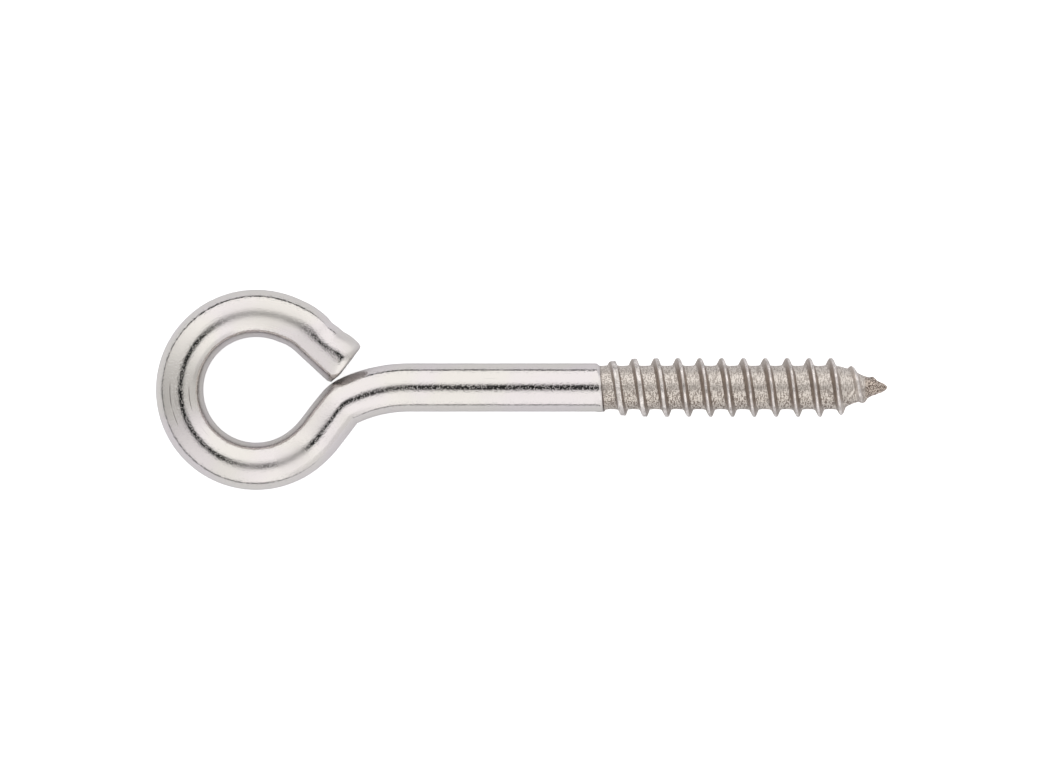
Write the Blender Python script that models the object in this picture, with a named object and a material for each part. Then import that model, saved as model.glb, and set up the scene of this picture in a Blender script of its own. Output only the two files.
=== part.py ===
"""A screw eye: one length of zinc-plated steel wire with an eye bent at one end and, at the other, a rolled
right-hand wood thread that ends in a gimlet point.

The real object is a single piece of wire. It is modelled here as the stretches that its maker forms one by
one, each a closed solid of its own, and each stretch stops a hair short of the next.

Frame: the shank runs along X with the point at +X, and the eye lies flat in XY with its cut end on the +Y
side. The origin is the middle of the bottom of the object's box, so the screw eye lies on z = 0.
All sizes are in metres and all angles in radians.
"""

import math

import bmesh
import bpy
from mathutils import Matrix, Vector

# The wire, which the bending has drawn down a little round the eye
SHANK_RADIUS = 0.0040
EYE_WIRE_RADIUS = 0.00392
SEAM_GAP = 0.0003

# Stations on the shank, measured from below the eye's centre towards the point
BEND_START_X = 0.0252
THREAD_START_X = 0.0570
POINT_START_X = 0.0950
TIP_X = 0.1040

# The neck, which bends away from the shank's axis: an easy bend, a tight one, and a short straight run
NECK_EASY_RADIUS = 0.0234
NECK_EASY_TURN = math.radians(25.5)
NECK_TIGHT_RADIUS = 0.0046
NECK_TIGHT_TURN = math.radians(27.3)
NECK_RUN = 0.0047

# The eye bends back the other way, a little slacker at its two ends than round its middle
EYE_LEAD_RADIUS = 0.0160
EYE_LEAD_TURN = math.radians(-14.5)
EYE_RADIUS = 0.0126
EYE_TURN = math.radians(-222.0)
EYE_END_RADIUS = 0.0135
EYE_END_TURN = math.radians(-39.0)
TAIL_LENGTH = 0.0077

# The wood thread
THREAD_PITCH = 0.0036
THREAD_ROOT_RADIUS = 0.00365
THREAD_HEIGHT = 0.0012
RIDGE_HALF_WIDTH = 0.00095
CREST_HALF_WIDTH = 0.00025
FIRST_CREST_X = 0.0587
RUN_IN_START_X = 0.0564
RUN_IN_LENGTH = 0.0024
RUN_OUT_LENGTH = 0.0070
POINT_POWER = 0.67

# Fineness of the meshes
WIRE_SEGMENTS = 20
THREAD_SEGMENTS = 24
BEND_STEP = 0.0013
THREAD_STEP = THREAD_PITCH / 8
SHARP_ANGLE = math.radians(40)

# The zinc plating, as colour and roughness: glossy on the plain wire and matte on the rolled thread
BRIGHT_ZINC = ((0.80, 0.79, 0.77), 0.18)
ROLLED_ZINC = ((0.47, 0.44, 0.41), 0.60)


# ---------------------------------------------------------------- the wire's centreline

def bend(radius, turn):
    """A stretch of centreline with a constant radius, as its length and how far it turns."""
    return (radius * abs(turn), turn)


def straight(length):
    """A stretch of centreline that doesn't turn."""
    return (length, 0.0)


SHANK = [straight(THREAD_START_X - BEND_START_X)]
NECK = [
    bend(NECK_EASY_RADIUS, NECK_EASY_TURN),
    bend(NECK_TIGHT_RADIUS, NECK_TIGHT_TURN),
    straight(NECK_RUN),
]
EYE = [
    bend(EYE_LEAD_RADIUS, EYE_LEAD_TURN),
    bend(EYE_RADIUS, EYE_TURN),
    bend(EYE_END_RADIUS, EYE_END_TURN),
]
TAIL = [straight(TAIL_LENGTH)]
CENTRELINE = SHANK + NECK + EYE + TAIL


def stretch_length(stretch):
    """The length of centreline in a list of bends and straights."""
    return sum(length for length, turn in stretch)


def move_along(point, heading, length, turn):
    """The point and heading at the far end of one bend or straight."""
    if turn == 0.0:
        chord = length
    else:
        chord = 2 * (length / turn) * math.sin(turn / 2)
    direction = Vector((math.cos(heading + turn / 2), math.sin(heading + turn / 2), 0))
    return point + chord * direction, heading + turn


def station(distance):
    """Point and heading on the centreline, at a distance from the thread's start towards the cut end."""
    point = Vector((THREAD_START_X, 0, 0))
    heading = math.pi
    for length, turn in CENTRELINE:
        step = min(distance, length)
        point, heading = move_along(point, heading, step, turn * step / length)
        distance -= step
    return point, heading


# ---------------------------------------------------------------- the thread's surface

def core_radius(x):
    """Radius of the thread's root: constant along the shank, then drawn in to the gimlet point."""
    left = max(TIP_X - x, 0.0) / (TIP_X - POINT_START_X)
    return THREAD_ROOT_RADIUS * min(left, 1.0) ** POINT_POWER


def ridge_height(x):
    """Height of the ridge: it swells out of the shank at the run-in and sinks away towards the tip."""
    run_in = 1 - math.exp(-max(x - RUN_IN_START_X, 0.0) / RUN_IN_LENGTH)
    run_out = min((TIP_X - x) / RUN_OUT_LENGTH, 1.0)
    return THREAD_HEIGHT * run_in * run_out


def thread_radius(x, angle):
    """Radius of the threaded surface at a place along the shank and an angle round it."""
    turns = (x - FIRST_CREST_X) / THREAD_PITCH - angle / math.tau
    off_crest = abs(turns - round(turns)) * THREAD_PITCH
    rise = (RIDGE_HALF_WIDTH - off_crest) / (RIDGE_HALF_WIDTH - CREST_HALF_WIDTH)
    return core_radius(x) + ridge_height(x) * min(max(rise, 0.0), 1.0)


# ---------------------------------------------------------------- mesh building

def spaced(start, end, step):
    """Evenly spaced values from start to end, about step apart, both ends included."""
    count = max(1, math.ceil((end - start) / step - 1e-6))
    return [start + (end - start) * i / count for i in range(count + 1)]


def wire_radius(distance):
    """Radius of the wire: it narrows evenly along the neck, from the shank to the eye."""
    share = (distance - stretch_length(SHANK)) / stretch_length(NECK)
    return SHANK_RADIUS + (EYE_WIRE_RADIUS - SHANK_RADIUS) * min(max(share, 0.0), 1.0)


def wire_ring(bm, distance):
    """One round section of the wire, square to its centreline."""
    centre, heading = station(distance)
    radius = wire_radius(distance)
    side = Vector((-math.sin(heading), math.cos(heading), 0))
    up = Vector((0, 0, 1))
    angles = [math.tau * i / WIRE_SEGMENTS for i in range(WIRE_SEGMENTS)]
    return [bm.verts.new(centre + radius * (math.cos(a) * side + math.sin(a) * up)) for a in angles]


def thread_ring(bm, x):
    """One section of the threaded end, square to the shank."""
    ring = []
    for i in range(THREAD_SEGMENTS):
        angle = math.tau * i / THREAD_SEGMENTS
        radius = thread_radius(x, angle)
        ring.append(bm.verts.new((x, radius * math.cos(angle), radius * math.sin(angle))))
    return ring


def join_rings(bm, rings):
    """Side walls between each ring and the next."""
    for ring, following in zip(rings, rings[1:]):
        for i in range(len(ring)):
            j = (i + 1) % len(ring)
            bm.faces.new((ring[i], ring[j], following[j], following[i]))


def close_end(bm, ring):
    """A flat end face."""
    bm.faces.new(ring)


def close_point(bm, ring, tip):
    """A fan of faces from the last ring to the tip."""
    apex = bm.verts.new(tip)
    for i in range(len(ring)):
        bm.faces.new((ring[i], ring[(i + 1) % len(ring)], apex))


def make_material(name, finish):
    """A metallic material of this colour and roughness."""
    colour, roughness = finish
    material = bpy.data.materials.new(name)
    material.use_nodes = True
    shader = material.node_tree.nodes["Principled BSDF"]
    shader.inputs["Base Color"].default_value = (*colour, 1.0)
    shader.inputs["Metallic"].default_value = 1.0
    shader.inputs["Roughness"].default_value = roughness
    return material


def make_node(name, bm, finish):
    """Turns a bmesh into a named object with its own material."""
    bmesh.ops.recalc_face_normals(bm, faces=bm.faces)
    mesh = bpy.data.meshes.new(name)
    bm.to_mesh(mesh)
    bm.free()
    mesh.shade_smooth()
    mesh.set_sharp_from_angle(angle=SHARP_ANGLE)
    mesh.materials.append(make_material(name, finish))
    node = bpy.data.objects.new(name, mesh)
    bpy.context.collection.objects.link(node)
    return node


# ---------------------------------------------------------------- the stretches of the wire

def bright_stretch(name, start, stretch, step):
    """A bent or straight stretch of plain wire, which leaves half a seam gap at each end."""
    end = start + stretch_length(stretch)
    bm = bmesh.new()
    rings = [wire_ring(bm, d) for d in spaced(start + SEAM_GAP / 2, end - SEAM_GAP / 2, step)]
    join_rings(bm, rings)
    close_end(bm, rings[0])
    close_end(bm, rings[-1])
    return make_node(name, bm, BRIGHT_ZINC)


def plain_shank():
    """The straight, unthreaded shank."""
    return bright_stretch("plain_shank", 0.0, SHANK, stretch_length(SHANK))


def neck_bend():
    """The reverse bend that carries the wire from the shank's axis out to the eye."""
    return bright_stretch("neck_bend", stretch_length(SHANK), NECK, BEND_STEP)


def eye_ring():
    """The round part of the eye."""
    return bright_stretch("eye_ring", stretch_length(SHANK + NECK), EYE, BEND_STEP)


def eye_tail():
    """The short straight tail, sheared off square, that nearly closes the eye against the neck."""
    return bright_stretch("eye_tail", stretch_length(SHANK + NECK + EYE), TAIL, TAIL_LENGTH)


def wood_thread():
    """The threaded part of the shank, of constant root diameter."""
    bm = bmesh.new()
    stations = spaced(THREAD_START_X + SEAM_GAP / 2, POINT_START_X - SEAM_GAP / 2, THREAD_STEP)
    rings = [thread_ring(bm, x) for x in stations]
    join_rings(bm, rings)
    close_end(bm, rings[0])
    close_end(bm, rings[-1])
    return make_node("wood_thread", bm, ROLLED_ZINC)


def gimlet_point():
    """The tapered point, on which the thread's ridge runs out."""
    bm = bmesh.new()
    stations = spaced(POINT_START_X + SEAM_GAP / 2, TIP_X, THREAD_STEP)
    rings = [thread_ring(bm, x) for x in stations[:-1]]
    join_rings(bm, rings)
    close_end(bm, rings[0])
    close_point(bm, rings[-1], (TIP_X, 0, 0))
    return make_node("gimlet_point", bm, ROLLED_ZINC)


# ---------------------------------------------------------------- the whole object

def clear_scene():
    """Removes whatever the file opened with."""
    for thing in list(bpy.data.objects):
        bpy.data.objects.remove(thing, do_unlink=True)


def put_origin_at_bottom_centre(nodes):
    """Moves every mesh so that the origin is the middle of the bottom of the whole object's box."""
    corners = [vertex.co for node in nodes for vertex in node.data.vertices]
    low = [min(corner[i] for corner in corners) for i in range(3)]
    high = [max(corner[i] for corner in corners) for i in range(3)]
    shift = Matrix.Translation((-(low[0] + high[0]) / 2, -(low[1] + high[1]) / 2, -low[2]))
    for node in nodes:
        node.data.transform(shift)


def main():
    """Builds the screw eye."""
    clear_scene()
    nodes = [plain_shank(), neck_bend(), eye_ring(), eye_tail(), wood_thread(), gimlet_point()]
    put_origin_at_bottom_centre(nodes)


main()
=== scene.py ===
"""Looks of the screw eye: the surface of one bent, thread-rolled and zinc-plated length of steel wire.

The whole wire is one grid of points: rows run along the wire from its cut end to its tip, columns run round
it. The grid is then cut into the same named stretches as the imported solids, which meet with no visible seam.
Metres throughout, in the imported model's frame: +X along the shank to the tip, +Y on the cut end's side.
"""
import math

import bpy
import numpy as np
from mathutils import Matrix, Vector, noise


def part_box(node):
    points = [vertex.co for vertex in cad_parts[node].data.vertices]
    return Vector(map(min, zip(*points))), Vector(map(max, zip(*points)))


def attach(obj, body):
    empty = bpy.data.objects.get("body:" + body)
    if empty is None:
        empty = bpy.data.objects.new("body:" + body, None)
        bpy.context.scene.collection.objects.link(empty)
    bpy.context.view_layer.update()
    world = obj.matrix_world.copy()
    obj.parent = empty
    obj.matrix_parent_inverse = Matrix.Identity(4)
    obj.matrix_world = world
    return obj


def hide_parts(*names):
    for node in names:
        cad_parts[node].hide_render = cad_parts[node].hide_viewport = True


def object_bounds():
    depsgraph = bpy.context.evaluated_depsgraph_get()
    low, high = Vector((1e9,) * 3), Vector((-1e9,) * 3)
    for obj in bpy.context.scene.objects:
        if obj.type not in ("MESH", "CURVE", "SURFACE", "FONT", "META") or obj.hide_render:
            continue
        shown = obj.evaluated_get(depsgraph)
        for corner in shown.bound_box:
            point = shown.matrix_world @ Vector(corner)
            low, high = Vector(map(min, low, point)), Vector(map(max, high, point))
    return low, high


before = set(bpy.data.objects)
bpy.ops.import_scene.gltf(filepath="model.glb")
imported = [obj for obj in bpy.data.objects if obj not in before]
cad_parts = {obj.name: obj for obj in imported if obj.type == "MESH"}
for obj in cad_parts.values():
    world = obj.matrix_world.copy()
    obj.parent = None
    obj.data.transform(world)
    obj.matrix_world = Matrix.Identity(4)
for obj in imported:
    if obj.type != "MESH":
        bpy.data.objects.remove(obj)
CAD_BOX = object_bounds()

MM = 0.001

# ---------------------------------------------------------------- driving dimensions
# The wire
SHANK_RADIUS = 4.0 * MM
EYE_WIRE_RADIUS = 3.92 * MM

# Stations along the shank, from below the eye's centre towards the point
BEND_START_X = 25.2 * MM
THREAD_START_X = 57.0 * MM
CONE_START_X = 95.0 * MM
TIP_X = 104.0 * MM

# The bends, walked from the shank to the cut end: radius and turn
NECK_EASY = (23.4 * MM, math.radians(25.5))
NECK_TIGHT = (4.6 * MM, math.radians(27.3))
NECK_RUN = 4.7 * MM
EYE_LEAD = (16.0 * MM, math.radians(-14.5))
EYE_MIDDLE = (12.6 * MM, math.radians(-222.0))
EYE_END = (13.5 * MM, math.radians(-39.0))
TAIL_LENGTH = 7.7 * MM

# The wood thread: the ridge's side towards the tip is the steeper one by its lean
PITCH = 3.6 * MM
ROOT_RADIUS = 3.65 * MM
THREAD_HEIGHT = 1.22 * MM
FIRST_CREST_X = 58.715 * MM
RIDGE_HALF_WIDTH = 0.685 * MM
RIDGE_LEAN = 0.147
RUN_IN_START_X = 56.4 * MM
GRITTY_FROM_X = 100.5 * MM

# Distances at which the grid takes the threaded surface's radius, and at which the rolled finish begins
THREADED_FROM = -1.2 * MM
ROLLED_FROM = 0.36 * MM
COLUMNS = 128

# Colours of the plating, and pairs of a dark and a pale one where it is speckled
PINK_ZINC = (0.650, 0.608, 0.606, 1)
STRAW_ZINC = (0.650, 0.620, 0.585, 1)
SCUFF = (0.25, 0.23, 0.22, 1)
# painted shade: the dark lines under the shank's lip and round the cut end's rim
PAINTED_SHADE_COLOUR = (0.12, 0.09, 0.08, 1)
TORN_FACE = (0.40, 0.38, 0.37, 1), (0.62, 0.59, 0.58, 1)
CLEAN_ROOT = (0.38, 0.335, 0.30, 1), (0.66, 0.605, 0.555, 1)
BROWN_ROOT = (0.21, 0.17, 0.145, 1), (0.62, 0.56, 0.50, 1)
# painted shade: the thread's flanks are coloured darker than its roots
SHADED_FLANK = (0.41, 0.355, 0.32, 1), (0.51, 0.45, 0.405, 1)
WORN_CREST = (0.50, 0.46, 0.43, 1), (0.76, 0.71, 0.68, 1)
GRITTY_TIP = (0.09, 0.065, 0.05, 1), (0.62, 0.53, 0.46, 1)


def bend(radius_and_turn):
    """Length and turn of a bend of constant radius."""
    radius, turn = radius_and_turn
    return radius * abs(turn), turn


SHANK = [(THREAD_START_X - BEND_START_X, 0.0)]
NECK = [bend(NECK_EASY), bend(NECK_TIGHT), (NECK_RUN, 0.0)]
EYE = [bend(EYE_LEAD), bend(EYE_MIDDLE), bend(EYE_END)]
TAIL = [(TAIL_LENGTH, 0.0)]


def length_of(stretch):
    """Length of centreline in a list of bends and straights."""
    return sum(length for length, _ in stretch)


# Distances along the wire: 0 where the thread starts, negative towards the cut end, positive towards the tip
NECK_END = -length_of(SHANK)
EYE_START = NECK_END - length_of(NECK)
TAIL_START = EYE_START - length_of(EYE)
CUT_END = TAIL_START - TAIL_LENGTH
CREASE = NECK_END - NECK[0][0] - NECK[1][0] / 2
TIP = TIP_X - THREAD_START_X
LAST_ROW = TIP - 0.005 * MM
FAR_SIDE = (EYE_START + TAIL_START) / 2

# Fine lines scratched along the far side of the eye: distance, sideways place, length, width
SCRATCHES = [
    (FAR_SIDE - 0.4 * MM, -1.42 * MM, 4.5 * MM, 0.10 * MM),
    (FAR_SIDE + 3.0 * MM, -1.35 * MM, 3.0 * MM, 0.07 * MM),
    (FAR_SIDE + 0.4 * MM, 1.70 * MM, 5.5 * MM, 0.09 * MM),
]


# ---------------------------------------------------------------- small helpers

def smoothstep(low, high, value):
    """0 below low, 1 above high, and a smooth rise between them."""
    t = np.clip((value - low) / (high - low), 0.0, 1.0)
    return t * t * (3 - 2 * t)


def bump_at(value, centre, width):
    """A smooth bump of height 1 at centre, which has fallen to about a third one width away."""
    return np.exp(-((value - centre) / width) ** 2)


def angle_from(angle, centre):
    """Signed difference between two angles, from -pi to pi."""
    return (angle - centre + math.pi) % math.tau - math.pi


def noise_field(points, scale, seed, octaves=1):
    """Smooth noise, about -1 to 1, at an array of points: scale is the size of its lumps in metres."""
    flat = points.reshape(-1, 3) / scale + seed
    if octaves == 1:
        values = [noise.noise(p) for p in map(Vector, flat)]
    else:
        values = [noise.fractal(p, 0.8, 2.0, octaves) for p in map(Vector, flat)]
    return np.array(values).reshape(points.shape[:-1])


# ---------------------------------------------------------------- where the wire runs

def wire_origin():
    """The place in the frame of the shank's axis below the eye's centre."""
    low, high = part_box("plain_shank")
    tip_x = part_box("gimlet_point")[1].x
    return np.array((tip_x - TIP_X, (low.y + high.y) / 2, (low.z + high.z) / 2))


def centreline(distances):
    """Points and forward directions of the wire's centreline, in its own plane, at these distances."""
    left = np.maximum(-distances, 0.0)
    x = np.full_like(distances, THREAD_START_X) + np.maximum(distances, 0.0)
    y = np.zeros_like(distances)
    heading = np.full_like(distances, math.pi)
    for length, turn in SHANK + NECK + EYE + TAIL:
        last = (length, turn) == TAIL[0]
        step = left if last else np.minimum(left, length)
        part = turn * step / length
        chord = step * np.sinc(part / math.tau)
        x += chord * np.cos(heading + part / 2)
        y += chord * np.sin(heading + part / 2)
        heading += part
        left = left - step
    return x, y, heading - math.pi


# ---------------------------------------------------------------- the bright wire's section

def plain_radius(s):
    """Radius of the plain wire: the bending has drawn it down a little round the eye."""
    return EYE_WIRE_RADIUS + (SHANK_RADIUS - EYE_WIRE_RADIUS) * smoothstep(EYE_START, NECK_END, s)


def tail_reach(from_cut, inward):
    """How far the tail stands out or in from the plain wire: it was pressed as the eye was closed."""
    closing = smoothstep(12.5 * MM, 9.5 * MM, from_cut)
    swelling = smoothstep(4.6 * MM, 2.4 * MM, from_cut)
    waist = bump_at(from_cut, 6.5 * MM, 0.8 * MM)
    outer = (0.09 * closing + 0.34 * swelling - 0.16 * waist) * MM
    inner = -0.16 * MM * closing
    return np.where(inward < 0, outer, inner) * np.abs(inward)


def sheared_edge(from_cut, inward, up):
    """How much the shears rolled the cut end's edge over, most of all above and below."""
    long_roll = np.clip(1 - from_cut / (1.5 * MM), 0, 1) ** 2
    short_roll = np.clip(1 - from_cut / (0.9 * MM), 0, 1) ** 2
    return 0.40 * MM * long_roll * np.abs(up) + 0.30 * MM * short_roll * np.abs(inward)


def squeeze(s, from_cut, inward):
    """Rise of the wire's top and bottom in the tight bend, and their flattening on the pressed tail."""
    pinched = 0.10 * bump_at(s, CREASE - 1.8 * MM, 3.0 * MM) * bump_at(inward, 0, 0.38)
    pressed = (0.05 + 0.07 * smoothstep(0, 7 * MM, from_cut)) * smoothstep(13 * MM, 8 * MM, from_cut)
    pressed = pressed * bump_at(inward, -0.04, 0.40)
    return (pinched - pressed) * MM


def wire_section(s, angle):
    """Sideways and upward offset of the bright wire's surface, and how far it is pushed along the wire.

    angle 0 is +Y on the shank and the inner side of the eye; a quarter turn is up."""
    inward = np.cos(angle)
    up = np.sin(angle)
    from_cut = s - CUT_END
    press = bump_at(from_cut, 5.3 * MM, 0.9 * MM) * bump_at(angle_from(angle, math.radians(132)), 0, 0.45)
    facet = bump_at(s, CREASE - 0.9 * MM, 1.6 * MM) * bump_at(angle_from(angle, 0), 0, 0.5)
    crease = bump_at(s, CREASE, 0.35 * MM) * bump_at(angle_from(angle, math.pi), 0, 0.7)
    radius = plain_radius(s) + tail_reach(from_cut, inward) - sheared_edge(from_cut, inward, up)
    radius = radius - (0.12 * press + 0.08 * facet + 0.10 * crease) * MM + squeeze(s, from_cut, inward)

    sideways = radius * inward
    upward = radius * up

    # the cut isn't square to the wire, and its inner corner is dragged back
    near_cut = 1 - smoothstep(0, 2.5 * MM, from_cut)
    dragged = 0.35 * MM * smoothstep(1.5 * MM, 3.8 * MM, sideways)
    along = (0.02 * MM - 0.085 * sideways + dragged) * near_cut
    return sideways, upward, along


def past_lip(s, angle):
    """Distance past the plain shank's end, which is a little oblique."""
    return s + 0.20 * MM + 0.30 * MM * np.cos(angle)


def shank_end(s, angle):
    """How the plain shank's radius falls to the thread's root, over a rolled lip."""
    lean = np.cos(angle)
    past = past_lip(s, angle)
    rounded = smoothstep(-0.45 * MM, 0.0, past) * (0.10 + 0.22 * smoothstep(0.0, 1.0, lean)) * MM
    flare = 0.14 * MM * bump_at(past, -0.15 * MM, 0.7 * MM) * smoothstep(0.2, 1.0, -lean)
    return SHANK_RADIUS - rounded + flare


# ---------------------------------------------------------------- the thread

def root_radius(x):
    """Radius of the thread's root, drawn in to a blunt gimlet point."""
    left = np.maximum(TIP_X - x, 0.0)
    cone = 0.45 * MM + 0.405 * left
    blunt = np.sqrt(np.clip(1 - (1 - left / (0.9 * MM)).clip(0, 1) ** 2, 0, 1))
    softness = 0.35 * MM
    gap = np.clip(0.5 + 0.5 * (cone - ROOT_RADIUS) / softness, 0, 1)
    smooth_min = cone * (1 - gap) + ROOT_RADIUS * gap - softness * gap * (1 - gap)
    return smooth_min * blunt


def ridge_height(x):
    """The ridge swells at the run-in and sinks away along the gimlet point."""
    run_in = 1 - np.exp(-np.maximum(x - RUN_IN_START_X, 0.0) / (2.4 * MM))
    run_out = 0.40 + 0.60 * smoothstep(4.0 * MM, 9.0 * MM, TIP_X - x)
    end = smoothstep(1.4 * MM, 2.8 * MM, TIP_X - x)
    return THREAD_HEIGHT * run_in * run_out * end


def thread_radius(x, angle):
    """Radius of the rolled thread, and masks of its flanks and of its crest."""
    turns = (x - FIRST_CREST_X) / PITCH - angle / math.tau
    beside = (turns - np.round(turns)) * PITCH
    off_crest = np.abs(beside) * (1 + RIDGE_LEAN * np.sign(beside))
    sharpening = smoothstep(THREAD_START_X, 74 * MM, x)
    crest_half = (0.40 - 0.20 * sharpening) * MM
    rise = np.clip((RIDGE_HALF_WIDTH - off_crest) / (RIDGE_HALF_WIDTH - crest_half), 0.0, 1.12)
    rounded = rise - 0.12 * smoothstep(0.84, 1.12, rise)
    foot = 0.05 * bump_at(off_crest, RIDGE_HALF_WIDTH, 0.18 * MM)
    saddle = 0.07 * MM * smoothstep(RIDGE_HALF_WIDTH, 0.42 * PITCH, off_crest)
    height = ridge_height(x)
    radius = root_radius(x) - saddle * smoothstep(0, 3 * MM, TIP_X - x) + height * (rounded + foot)
    shown = smoothstep(3.8 * MM, 4.8 * MM, TIP_X - x)
    crest = 1 - smoothstep(crest_half - 0.03 * MM, crest_half + 0.05 * MM, off_crest)
    flank = 1 - smoothstep(RIDGE_HALF_WIDTH - 0.08 * MM, RIDGE_HALF_WIDTH + 0.04 * MM, off_crest)
    return radius, flank * shown, crest * shown


# ---------------------------------------------------------------- wear

def dulled_mask(s, angle, upward):
    """Where the bending has dulled the wire: on top of the eye, on the tail's swelling and in the neck."""
    x, y, _ = centreline(s.ravel())
    azimuth = np.degrees(np.arctan2(y, x)).reshape(s.shape) % 360
    near_tail = 0.82 * smoothstep(146, 104, azimuth) * smoothstep(22, 62, azimuth)
    near_neck = smoothstep(252, 258, azimuth) * smoothstep(318, 304, azimuth)
    near_neck = near_neck * (0.47 + 0.40 * smoothstep(280, 292, azimuth))
    crown = (near_tail + near_neck) * smoothstep(2.9 * MM, 3.6 * MM, upward)
    swelling = smoothstep(5.6 * MM, 4.2 * MM, s - CUT_END) * smoothstep(0.25, 0.55, -np.cos(angle))
    neck = 0.7 * bump_at(s, CREASE + 0.5 * MM, 4.0 * MM) * smoothstep(0.55, 0.85, np.cos(angle))
    return (crown + swelling) * (s < EYE_START) + neck


def painted_shade_mask(s, angle):
    """Painted shade: thin dark lines under the shank's lip and round the rim of the cut end."""
    under_lip = bump_at(past_lip(s, angle), 0.14 * MM, 0.16 * MM) * (0.65 - 0.35 * np.cos(angle))
    rim = smoothstep(0.20 * MM, 0.08 * MM, s - CUT_END) * (0.55 + 0.35 * np.cos(angle))
    return under_lip + rim


def scuffed_mask(s):
    """Where the wire's hairlines show: on the far side of the eye."""
    return 0.25 + 0.75 * bump_at(s, FAR_SIDE, 10 * MM)


# ---------------------------------------------------------------- the grid

def row_distances():
    """Rows along the wire, closer together where the surface has detail."""
    spans = [
        (CUT_END, CUT_END + 1.2 * MM, 0.06 * MM),
        (CUT_END + 1.2 * MM, TAIL_START + 1.5 * MM, 0.16 * MM),
        (TAIL_START + 1.5 * MM, EYE_START, 0.26 * MM),
        (EYE_START, NECK_END, 0.13 * MM),
        (NECK_END, THREADED_FROM, 0.30 * MM),
        (THREADED_FROM, 0.6 * MM, 0.04 * MM),
        (0.6 * MM, TIP - 0.9 * MM, 0.085 * MM),
        (TIP - 0.9 * MM, LAST_ROW, 0.03 * MM),
    ]
    rows = []
    for start, end, step in spans:
        count = max(1, round((end - start) / step))
        rows.extend(start + (end - start) * i / count for i in range(count))
    rows.append(LAST_ROW)
    return np.array(rows)


def build_grid():
    """Every point of the surface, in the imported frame, with what the materials need to know about it."""
    rows = row_distances()
    angle = (np.arange(COLUMNS) / COLUMNS * math.tau)[None, :]
    s = rows[:, None] + 0 * angle
    x = THREAD_START_X + s

    sideways, upward, along = wire_section(s, angle)
    thread, flank, crest = thread_radius(x, angle)
    end_radius = shank_end(s, angle)
    step = smoothstep(0.0, 0.10 * MM, past_lip(s, angle))
    threaded = end_radius * (1 - step) + thread * step
    use_thread = s > THREADED_FROM
    sideways = np.where(use_thread, threaded * np.cos(angle), sideways)
    upward = np.where(use_thread, threaded * np.sin(angle), upward)

    cx, cy, heading = centreline((s + along).ravel())
    cx, cy, heading = (v.reshape(s.shape) for v in (cx, cy, heading))
    points = np.stack(
        (cx - sideways * np.sin(heading), cy + sideways * np.cos(heading), upward), axis=-1
    )
    straight = np.stack((s, sideways, upward), axis=-1)
    masks = {"flank": flank, "crest": crest, "rolled": step, "sheared": np.zeros_like(s)}
    for name in ("flank", "crest"):
        masks[name] = np.where(use_thread, masks[name] * step, 0.0)
    # painted shade under the shank's lip and round the cut end's rim
    masks["dirt"] = painted_shade_mask(s, angle)
    masks["dulled"] = dulled_mask(s, angle, upward)
    masks["scuffed"] = scuffed_mask(s)
    return rows, points + wire_origin(), straight, masks


def close_cut_face(rows, points, straight, masks):
    """Adds the rows of the sheared face in front of the first row, from its middle out to its rim."""
    rim = points[0]
    middle = rim.mean(axis=0)
    forward = np.cross(rim[COLUMNS // 4] - middle, rim[0] - middle)
    forward /= np.linalg.norm(forward)
    shares = np.concatenate((np.linspace(0.03, 0.95, 24), (0.97, 0.985, 0.995)))[:, None, None]
    bulge = 0.05 * MM
    face = middle + (rim - middle) * shares + forward * bulge * (1 - shares ** 6)
    face_straight = straight[0] * np.concatenate((np.ones_like(shares), shares, shares), axis=-1)
    count = len(shares)
    rows = np.concatenate((np.full(count, rows[0]), rows))
    points = np.concatenate((face, points))
    straight = np.concatenate((face_straight, straight))
    for name, values in masks.items():
        filling = np.full((count, COLUMNS), 1.0 if name == "sheared" else 0.0)
        masks[name] = np.concatenate((filling, values))
    return rows, points, straight, masks


def grid_normals(points):
    """Outward normals of the whole grid."""
    along = np.gradient(points, axis=0)
    around = np.roll(points, -1, axis=1) - np.roll(points, 1, axis=1)
    normals = np.cross(around, along)
    return normals / np.maximum(np.linalg.norm(normals, axis=-1, keepdims=True), 1e-20)


def roughen(points, normals, straight, masks):
    """Presses the rolled thread's coarse grain and the plain wire's faint waviness into the surface."""
    rolled = masks["rolled"] * smoothstep(0, 0.3 * MM, straight[..., 0])
    waves = noise_field(straight, 3.0 * MM, 3.1)
    depth = 0.010 * MM * waves * (1 - rolled)
    near = rolled.max(axis=1) > 0
    grain = np.zeros_like(waves)
    grain[near] = noise_field(points[near], 0.42 * MM, 7.7, octaves=3)
    grit = smoothstep(-0.3 * MM, 0.3 * MM, straight[..., 0] + THREAD_START_X - GRITTY_FROM_X)
    depth = depth + grain * (0.014 + 0.036 * grit) * MM * rolled
    sheared = masks["sheared"] > 0
    tears = noise_field(straight[sheared] * (0, 1, 0.35), 0.5 * MM, 5.3, octaves=3)
    depth[sheared] = 0.03 * MM * tears
    blunt_tip = smoothstep(0.0, 0.8 * MM, TIP - straight[..., 0])
    return points + normals * (depth * blunt_tip)[..., None]


# ---------------------------------------------------------------- pieces

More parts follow.
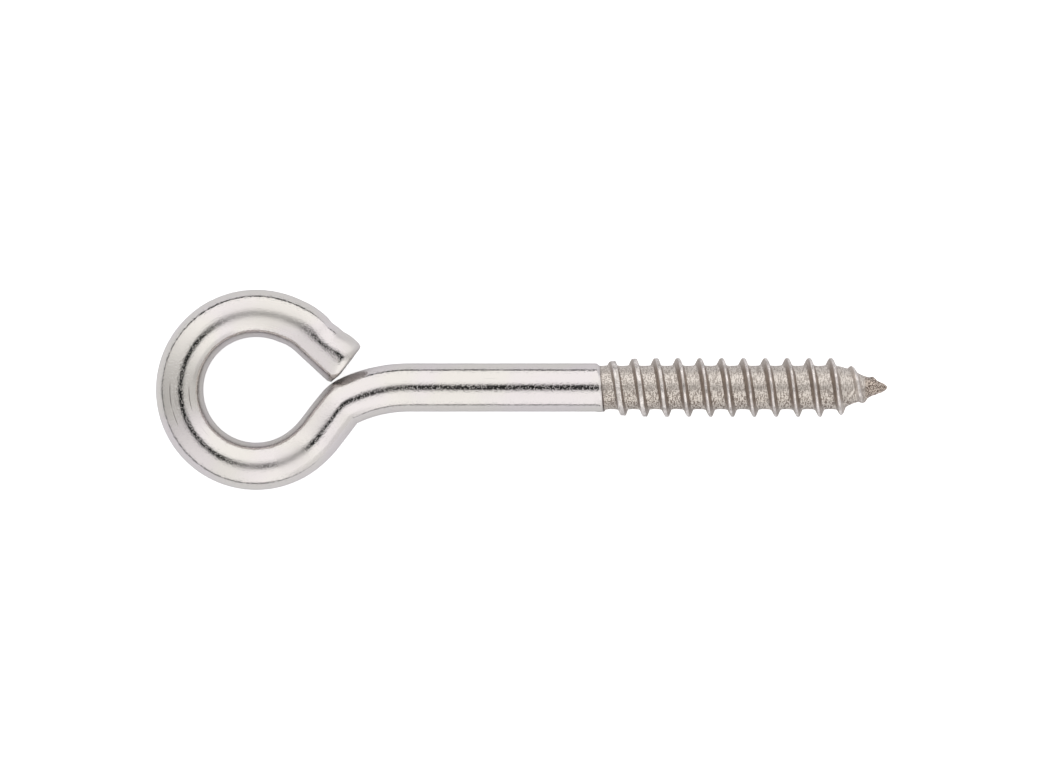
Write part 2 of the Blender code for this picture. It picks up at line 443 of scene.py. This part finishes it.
def make_piece(name, first, last, grid, material):
    """One closed piece of the surface, rows first to last, with the whole wire's normals."""
    points, normals, masks, straight = grid
    count = last - first + 1
    index = np.arange(count * COLUMNS).reshape(count, COLUMNS)
    following = np.roll(index, -1, axis=1)
    quads = np.stack((index[:-1], following[:-1], following[1:], index[1:]), axis=-1).reshape(-1, 4)
    start_cap = index[0][::-1]
    end_cap = index[-1]
    mesh = bpy.data.meshes.new(name)
    vertices = points[first:last + 1].reshape(-1, 3)
    mesh.from_pydata(vertices.tolist(), [], quads.tolist() + [start_cap.tolist(), end_cap.tolist()])
    mesh.shade_smooth()

    flat = normals[first:last + 1].reshape(-1, 3)
    corners = flat[quads.ravel()]
    caps = [cap_normal(points, first, -1), cap_normal(points, last, 1)]
    corners = np.concatenate((corners, np.repeat(caps, COLUMNS, axis=0)))
    mesh.normals_split_custom_set(corners.tolist())

    store(mesh, "straight", "FLOAT_VECTOR", straight[first:last + 1])
    for key, values in masks.items():
        store(mesh, key, "FLOAT", values[first:last + 1])
    mesh.materials.append(material)
    piece = bpy.data.objects.new(name, mesh)
    bpy.context.collection.objects.link(piece)
    return piece


def cap_normal(points, row, sign):
    """Direction out of the piece through its end at this row."""
    ring = points[row]
    across = ring[0] - ring[COLUMNS // 2]
    upward = ring[COLUMNS // 4] - ring[3 * COLUMNS // 4]
    forward = np.cross(across, upward)
    return sign * forward / np.linalg.norm(forward)


def store(mesh, name, kind, values):
    """Writes an array to a point attribute."""
    attribute = mesh.attributes.new(name, kind, "POINT")
    field = "vector" if kind == "FLOAT_VECTOR" else "value"
    attribute.data.foreach_set(field, np.ascontiguousarray(values, dtype=np.float32).ravel())


# ---------------------------------------------------------------- shader helpers

def new_node(tree, kind, **settings):
    """A node with these settings."""
    node = tree.nodes.new(kind)
    for key, value in settings.items():
        setattr(node, key, value)
    return node


def feed(tree, socket, value):
    """Links a socket to a socket, or sets its value."""
    if isinstance(value, bpy.types.NodeSocket):
        tree.links.new(value, socket)
    else:
        socket.default_value = value


def maths(tree, operation, *values, clamp=False):
    """Output of a Math node."""
    node = new_node(tree, "ShaderNodeMath", operation=operation, use_clamp=clamp)
    for socket, value in zip(node.inputs, values):
        feed(tree, socket, value)
    return node.outputs[0]


def ease(tree, value, low, high, out_low=0.0, out_high=1.0):
    """A smooth step from out_low to out_high."""
    node = new_node(tree, "ShaderNodeMapRange", interpolation_type="SMOOTHSTEP")
    for socket, item in zip(node.inputs, (value, low, high, out_low, out_high)):
        feed(tree, socket, item)
    return node.outputs[0]


def mix_colour(tree, share, first, second):
    """Blend of two colours."""
    node = new_node(tree, "ShaderNodeMix", data_type="RGBA")
    feed(tree, node.inputs[0], share)
    feed(tree, node.inputs[6], first)
    feed(tree, node.inputs[7], second)
    return node.outputs[2]


def mix_number(tree, share, first, second):
    """Blend of two numbers."""
    node = new_node(tree, "ShaderNodeMix", data_type="FLOAT")
    feed(tree, node.inputs[0], share)
    feed(tree, node.inputs[2], first)
    feed(tree, node.inputs[3], second)
    return node.outputs[0]


def attribute(tree, name, output="Fac"):
    """A value stored on the mesh."""
    return new_node(tree, "ShaderNodeAttribute", attribute_name=name).outputs[output]


def lumps(tree, vector, size, detail=2.0, stretch=(1, 1, 1)):
    """Noise whose lumps are about this size in metres, times stretch."""
    mapping = new_node(tree, "ShaderNodeMapping", vector_type="POINT")
    feed(tree, mapping.inputs["Vector"], vector)
    mapping.inputs["Scale"].default_value = tuple(1 / k for k in stretch)
    node = new_node(tree, "ShaderNodeTexNoise")
    feed(tree, node.inputs["Vector"], mapping.outputs[0])
    node.inputs["Scale"].default_value = 1 / size
    node.inputs["Detail"].default_value = detail
    return node.outputs[0]


def relief(tree, height, depth, below=None):
    """A Bump node that presses height, 0 to 1, into the surface with this depth in metres."""
    node = new_node(tree, "ShaderNodeBump")
    feed(tree, node.inputs["Height"], height)
    node.inputs["Distance"].default_value = depth
    if below is not None:
        feed(tree, node.inputs["Normal"], below)
    return node.outputs[0]


# ---------------------------------------------------------------- materials

def scratch(tree, place, distance, sideways, length, width):
    """1 along one fine line on the wire's upper side, and 0 beside it."""
    parts = new_node(tree, "ShaderNodeSeparateXYZ")
    feed(tree, parts.inputs[0], place)
    beside = maths(tree, "ABSOLUTE", maths(tree, "SUBTRACT", parts.outputs[1], sideways))
    before = maths(tree, "ABSOLUTE", maths(tree, "SUBTRACT", parts.outputs[0], distance))
    line = ease(tree, beside, width * 0.3, width, 1.0, 0.0)
    ends = ease(tree, before, length * 0.2, length * 0.5, 1.0, 0.0)
    above = maths(tree, "GREATER_THAN", parts.outputs[2], 0.0)
    return maths(tree, "MULTIPLY", maths(tree, "MULTIPLY", line, ends), above)


def root_colour(tree, place, parts):
    """Speckled plating of the thread's roots, browner on the side away from the cut end, and its speckle."""
    distance, sideways = parts.outputs[0:2]
    mottle = lumps(tree, place, 0.20 * MM, 0.0)
    streaks = lumps(tree, place, 0.15 * MM, 0.0, (1, 5, 5))
    speckle = mix_number(tree, ease(tree, distance, 4 * MM, 12 * MM, 0.25, 0.50), mottle, streaks)
    speckle = ease(tree, speckle, 0.41, 0.56)
    clean = mix_colour(tree, speckle, *CLEAN_ROOT)
    brown = mix_colour(tree, speckle, *BROWN_ROOT)
    browner = ease(tree, sideways, 1.0 * MM, -3.0 * MM)
    return mix_colour(tree, browner, clean, brown), speckle


def bright_zinc():
    """Glossy plated wire: faint pink and straw tints, hairlines along the wire and a fine grain."""
    material = bpy.data.materials.new("bright_zinc")
    material.use_nodes = True
    tree = material.node_tree
    shader = tree.nodes["Principled BSDF"]
    place = attribute(tree, "straight", "Vector")
    sheared = attribute(tree, "sheared")

    tint = lumps(tree, place, 9 * MM, 1.0)
    tinted = mix_colour(tree, ease(tree, tint, 0.38, 0.62), PINK_ZINC, STRAW_ZINC)
    hairlines = lumps(tree, place, 0.14 * MM, 2.0, (60, 1, 1))
    scuffs = maths(tree, "MULTIPLY", ease(tree, hairlines, 0.68, 0.80), attribute(tree, "scuffed"))
    for distance, sideways, length, width in SCRATCHES:
        scuffs = maths(tree, "MAXIMUM", scuffs, scratch(tree, place, distance, sideways, length, width))
    tears = lumps(tree, place, 0.22 * MM, 3.0, (1, 1, 5))
    torn = mix_colour(tree, ease(tree, tears, 0.35, 0.65), *TORN_FACE)
    colour = mix_colour(tree, scuffs, tinted, SCUFF)
    colour = mix_colour(tree, sheared, colour, torn)
    parts = new_node(tree, "ShaderNodeSeparateXYZ")
    feed(tree, parts.inputs[0], place)
    rolled = attribute(tree, "rolled")
    root = root_colour(tree, place, parts)[0]
    colour = mix_colour(tree, rolled, colour, root)
    # painted shade: dark lines under the shank's lip and round the cut end's rim
    colour = mix_colour(tree, attribute(tree, "dirt"), colour, PAINTED_SHADE_COLOUR)
    feed(tree, shader.inputs["Base Color"], colour)
    shader.inputs["Metallic"].default_value = 1.0

    worn = maths(tree, "MULTIPLY", attribute(tree, "dulled"), 0.30)
    gloss = maths(tree, "MULTIPLY_ADD", hairlines, 0.05, worn)
    gloss = maths(tree, "MULTIPLY_ADD", sheared, 0.28, gloss)
    gloss = maths(tree, "MULTIPLY_ADD", rolled, 0.30, gloss)
    feed(tree, shader.inputs["Roughness"], maths(tree, "ADD", gloss, 0.048))

    grain = ease(tree, lumps(tree, place, 0.24 * MM, 0.0), 0.52, 0.72)
    grain = relief(tree, grain, 0.009 * MM)
    feed(tree, shader.inputs["Normal"], relief(tree, hairlines, 0.002 * MM, grain))
    return material


def rolled_zinc():
    """Matte plating of the rolled thread: speckled roots, flanks painted darker as shade, burnished crests,
    gritty tip.
    """
    material = bpy.data.materials.new("rolled_zinc")
    material.use_nodes = True
    tree = material.node_tree
    shader = tree.nodes["Principled BSDF"]
    place = attribute(tree, "straight", "Vector")
    parts = new_node(tree, "ShaderNodeSeparateXYZ")
    feed(tree, parts.inputs[0], place)
    tip = ease(tree, parts.outputs[0], TIP - 4.2 * MM, TIP - 3.4 * MM)

    root, speckle = root_colour(tree, place, parts)
    grit = lumps(tree, place, 0.17 * MM, 0.0)
    gritty = mix_colour(tree, ease(tree, grit, 0.42, 0.58), *GRITTY_TIP)
    wear = maths(tree, "MULTIPLY_ADD", speckle, 0.2, lumps(tree, place, 0.9 * MM, 0.0))
    worn_crest = mix_colour(tree, ease(tree, wear, 0.35, 0.85), *WORN_CREST)
    # painted shade: the flanks get a darker colour than the roots
    flank = mix_colour(tree, speckle, *SHADED_FLANK)
    colour = mix_colour(tree, tip, root, gritty)
    colour = mix_colour(tree, attribute(tree, "flank"), colour, flank)
    colour = mix_colour(tree, attribute(tree, "crest"), colour, worn_crest)
    feed(tree, shader.inputs["Base Color"], colour)
    shader.inputs["Metallic"].default_value = 1.0
    dull = ease(tree, speckle, 0.0, 1.0, 0.44, 0.32)
    feed(tree, shader.inputs["Roughness"], mix_number(tree, attribute(tree, "crest"), dull, 0.24))
    feed(tree, shader.inputs["Normal"], relief(tree, mix_number(tree, tip, speckle, grit), 0.020 * MM))
    return material


# ---------------------------------------------------------------- studio

FLOOR_REACH = 5.0
TABLE_NEAR = 48 * MM
TABLE_FAR = 70 * MM
TABLE_SEEN = (0.82, 0.82, 0.82, 1)
TABLE_MIRRORED = (0.90, 0.905, 0.93, 1)
# the black is painted shade of the unlit room past the table, seen only in reflections
BLACK = (0.0, 0.0, 0.0, 1)


def compass(tree, vector):
    """Height of a vector, and the direction of its level part as two numbers, along X and along Y."""
    parts = new_node(tree, "ShaderNodeSeparateXYZ")
    feed(tree, parts.inputs[0], vector)
    x, y, z = parts.outputs
    squares = maths(tree, "ADD", maths(tree, "MULTIPLY", x, x), maths(tree, "MULTIPLY", y, y))
    level = maths(tree, "MAXIMUM", maths(tree, "SQRT", squares), 0.0001)
    return z, maths(tree, "DIVIDE", x, level), maths(tree, "DIVIDE", y, level)


def lobe(tree, along, across, centre, half_width, softness, amount):
    """amount where a level direction is within half_width degrees of centre, and 0 well outside."""
    facing = maths(tree, "MULTIPLY", along, math.cos(math.radians(centre)))
    facing = maths(tree, "MULTIPLY_ADD", across, math.sin(math.radians(centre)), facing)
    outside = math.cos(math.radians(half_width + softness))
    inside = math.cos(math.radians(half_width - softness))
    return ease(tree, facing, outside, inside, 0.0, amount)


def room_darkness(tree, along, across):
    """How dark the room is low down in a level direction, past the table's edge and under the softboxes."""
    behind = lobe(tree, along, across, 170, 118, 8, 0.66)
    upper = lobe(tree, along, across, 106, 46, 8, 0.27)
    return maths(tree, "ADD", behind, upper)


def past_table(tree, place):
    """0 on the lit table, rising to 1 past its edge."""
    parts = new_node(tree, "ShaderNodeSeparateXYZ")
    feed(tree, parts.inputs[0], place)
    squares = []
    for axis in (0, 1):
        middle = (CAD_BOX[0][axis] + CAD_BOX[1][axis]) / 2
        half = (CAD_BOX[1][axis] - CAD_BOX[0][axis]) / 2
        away = maths(tree, "ABSOLUTE", maths(tree, "SUBTRACT", parts.outputs[axis], middle))
        away = maths(tree, "MAXIMUM", maths(tree, "SUBTRACT", away, half), 0.0)
        squares.append(maths(tree, "MULTIPLY", away, away))
    distance = maths(tree, "SQRT", maths(tree, "ADD", *squares))
    return ease(tree, distance, TABLE_NEAR, TABLE_FAR)


def floor():
    """A plain white table to the camera. The metal also mirrors its edge, where the dark room begins: for all
    rays but the camera's the colour darkens to black past the lit table, a painted shade of the unlit room.
    """
    mesh = bpy.data.meshes.new("floor")
    corners = [(-FLOOR_REACH, -FLOOR_REACH, 0), (FLOOR_REACH, -FLOOR_REACH, 0),
               (FLOOR_REACH, FLOOR_REACH, 0), (-FLOOR_REACH, FLOOR_REACH, 0)]
    mesh.from_pydata(corners, [], [(0, 1, 2, 3)])
    material = bpy.data.materials.new("floor")
    material.use_nodes = True
    tree = material.node_tree
    shader = tree.nodes["Principled BSDF"]
    place = new_node(tree, "ShaderNodeTexCoord").outputs["Object"]
    seen = new_node(tree, "ShaderNodeLightPath").outputs["Is Camera Ray"]
    _, along, across = compass(tree, place)
    # painted shade: for rays other than the camera's, the floor darkens to black past the lit table
    painted_room_shade = maths(tree, "MULTIPLY", room_darkness(tree, along, across), past_table(tree, place))
    mirrored = mix_colour(tree, painted_room_shade, TABLE_MIRRORED, BLACK)
    feed(tree, shader.inputs["Base Color"], mix_colour(tree, seen, mirrored, TABLE_SEEN))
    feed(tree, shader.inputs["Emission Strength"], maths(tree, "MULTIPLY", seen, 0.68))
    shader.inputs["Emission Color"].default_value = (1, 1, 1, 1)
    shader.inputs["Roughness"].default_value = 0.9
    shader.inputs["Specular IOR Level"].default_value = 0.0
    mesh.materials.append(material)
    plane = bpy.data.objects.new("floor", mesh)
    plane.location.z = CAD_BOX[0].z - 0.02 * MM
    bpy.context.collection.objects.link(plane)


# Brightness of the sky against how near a direction is to the middle of the dark gap between the softboxes.
# The gap leans towards the tip and is narrower along X than across.
OVERHEAD_GAP = [
    (0.0, 1.0), (0.867, 1.0), (0.912, 0.97), (0.939, 0.88), (0.959, 0.70),
    (0.972, 0.43), (0.985, 0.13), (0.993, 0.02), (1.0, 0.01),
]
GAP_LEAN = math.radians(7)


def studio():
    """Two long softboxes, on the +Y and the -Y side, a dark gap overhead and a dark room behind them."""
    world = bpy.data.worlds.new("studio")
    world.use_nodes = True
    tree = world.node_tree
    tree.nodes.clear()
    direction = new_node(tree, "ShaderNodeTexCoord").outputs["Generated"]
    z, along, across = compass(tree, direction)
    boxes = ease(tree, maths(tree, "ABSOLUTE", across), 0.10, 0.80, 0.80, 1.34)
    weaker = maths(tree, "SUBTRACT", 1.0, lobe(tree, along, across, 216, 34, 26, 0.17))
    short_box = lobe(tree, along, across, 320, 30, 8, 1.0)
    short_box = maths(tree, "MULTIPLY", short_box, ease(tree, z, 0.30, 0.50, 0.25, 0.0))
    weaker = maths(tree, "MULTIPLY", weaker, maths(tree, "SUBTRACT", 1.0, short_box))

    gap = new_node(tree, "ShaderNodeValToRGB")
    elements = gap.color_ramp.elements
    for element, (position, value) in zip(elements, (OVERHEAD_GAP[0], OVERHEAD_GAP[-1])):
        element.position = position
        element.color = (value, value, value, 1)
    for position, value in OVERHEAD_GAP[1:-1]:
        elements.new(position).color = (value, value, value, 1)
    overhead = new_node(tree, "ShaderNodeVectorMath", operation="DOT_PRODUCT")
    feed(tree, overhead.inputs[0], direction)
    overhead.inputs[1].default_value = (math.sin(GAP_LEAN), 0, math.cos(GAP_LEAN))
    lean = maths(tree, "MULTIPLY", along, math.sin(GAP_LEAN))
    highest = maths(tree, "SQRT", maths(tree, "MULTIPLY_ADD", lean, lean, math.cos(GAP_LEAN) ** 2))
    near = maths(tree, "DIVIDE", overhead.outputs["Value"], highest)
    narrowing = maths(tree, "MULTIPLY_ADD", maths(tree, "MULTIPLY", along, along), 0.5, 1.0)
    away = maths(tree, "MULTIPLY", maths(tree, "SUBTRACT", 1.0, near), narrowing)
    feed(tree, gap.inputs[0], maths(tree, "SUBTRACT", 1.0, away))

    low = maths(tree, "MULTIPLY", room_darkness(tree, along, across), ease(tree, z, 0.03, 0.085, 1.0, 0.0))
    radiance = maths(tree, "MULTIPLY", maths(tree, "MULTIPLY", boxes, weaker), gap.outputs[0])
    radiance = maths(tree, "MULTIPLY", radiance, maths(tree, "SUBTRACT", 1.0, low))
    seen = new_node(tree, "ShaderNodeLightPath").outputs["Is Camera Ray"]
    colour = mix_colour(tree, seen, radiance, (1.1, 1.1, 1.1, 1))
    background = new_node(tree, "ShaderNodeBackground")
    feed(tree, background.inputs["Color"], colour)
    output = new_node(tree, "ShaderNodeOutputWorld")
    feed(tree, output.inputs[0], background.outputs[0])
    bpy.context.scene.world = world
    bpy.context.scene.view_settings.view_transform = "Standard"


CAMERA_LENS = 250.0
SENSOR_WIDTH = 36.0
VIEW_WIDTH = 172.2 * MM
VIEW_CENTRE = (43.87 * MM, -0.42 * MM)


def camera(origin):
    """Straight above the object, from far enough to see it almost without perspective."""
    data = bpy.data.cameras.new("camera")
    data.sensor_width = SENSOR_WIDTH
    data.lens = CAMERA_LENS
    data.clip_end = 20.0
    eye = bpy.data.objects.new("camera", data)
    distance = VIEW_WIDTH * CAMERA_LENS / SENSOR_WIDTH
    eye.location = (origin[0] + VIEW_CENTRE[0], origin[1] + VIEW_CENTRE[1], origin[2] + distance)
    bpy.context.collection.objects.link(eye)
    bpy.context.scene.camera = eye


# ---------------------------------------------------------------- everything

def main():
    """Builds the screw eye's surface and the studio."""
    rows, points, straight, masks = close_cut_face(*build_grid())
    points = roughen(points, grid_normals(points), straight, masks)
    grid = (points, grid_normals(points), masks, straight)
    zinc = bright_zinc()
    rolled = rolled_zinc()
    stretches = [
        ("eye_tail", TAIL_START, zinc, "bright_zinc"),
        ("eye_ring", EYE_START, zinc, "bright_zinc"),
        ("neck_bend", NECK_END, zinc, "bright_zinc"),
        ("plain_shank", ROLLED_FROM, zinc, "bright_zinc"),
        ("wood_thread", CONE_START_X - THREAD_START_X, rolled, "rolled_zinc"),
        ("gimlet_point", TIP, rolled, "rolled_zinc"),
    ]
    first = 0
    for name, end, material, slot in stretches:
        last = int(np.searchsorted(rows, end - 1e-9)) if end < TIP else len(rows) - 1
        piece = make_piece("wire_" + name, first, last, grid, material)
        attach(piece, "root")
        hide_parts(name)
        first = last
    floor()
    studio()
    camera(wire_origin())


main()
